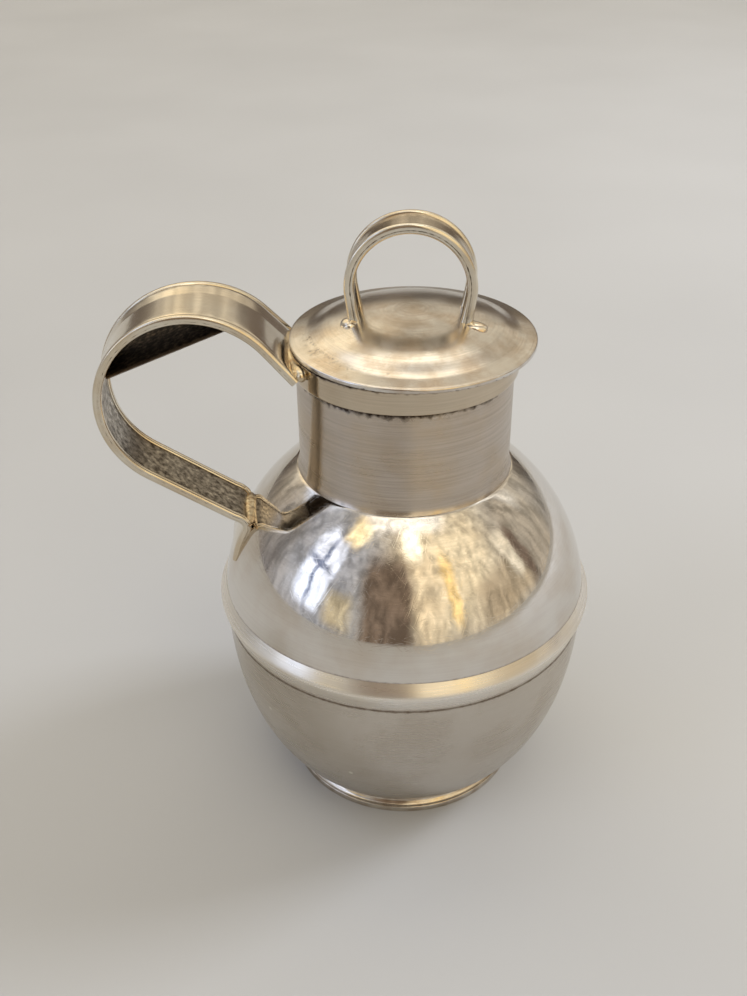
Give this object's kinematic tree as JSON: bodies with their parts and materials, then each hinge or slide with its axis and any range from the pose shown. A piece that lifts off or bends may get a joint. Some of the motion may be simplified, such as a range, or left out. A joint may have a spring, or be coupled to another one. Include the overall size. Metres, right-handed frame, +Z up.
{
  "type": "cream jug",
  "caption": "Small lidded silver cream jug of milk-can form with a girdled pot belly, a straight neck, a strap handle and a lift-off lid with a loop",
  "frame": {"origin": "middle of the rectangle that the jug covers on the table, at the height of the table", "axes": "+Z up along the jug's axis; +X towards the pouring side, away from the handle; +Y to the left of someone who holds the handle and looks along +X"},
  "size_m": [0.0786, 0.0628, 0.1002],
  "materials": {
    "foot_ring": "polished silver, gilt-warm at the worn edge",
    "lower_bowl": "satin silver with fine tarnish specks",
    "shoulder": "polished silver with fine scratches",
    "girdle_band": "polished silver",
    "neck_tube": "brushed silver, lines running round the neck",
    "mouth_collar": "polished silver",
    "handle_strap": "brushed silver outside, brown tarnish inside",
    "handle_front_rim": "polished silver wire",
    "handle_back_rim": "polished silver wire",
    "handle_bridge_plate": "tarnished silver",
    "lid_cover": "polished silver, brushed on the dome",
    "lid_plug": "satin silver",
    "loop_strap": "brushed silver, tarnished inside",
    "loop_front_rim": "polished silver wire",
    "loop_back_rim": "polished silver wire"
  },
  "bodies": {
    "jug": {"foot_ring": "foot_ring", "lower_bowl": "lower_bowl", "shoulder": "shoulder", "girdle_band": "girdle_band", "neck_tube": "neck_tube", "mouth_collar": "mouth_collar", "handle_strap": "handle_strap", "handle_front_rim": "handle_front_rim", "handle_back_rim": "handle_back_rim", "handle_bridge_plate": "handle_bridge_plate"},
    "lid": {"lid_cover": "lid_cover", "lid_plug": "lid_plug", "loop_strap": "loop_strap", "loop_front_rim": "loop_front_rim", "loop_back_rim": "loop_back_rim"}
  },
  "joints": [
    {"name": "lid_lift", "type": "slide", "parent": "jug", "child": "lid", "axis": [0, 0, 1], "range_m": [0, 0.03]}
  ]
}
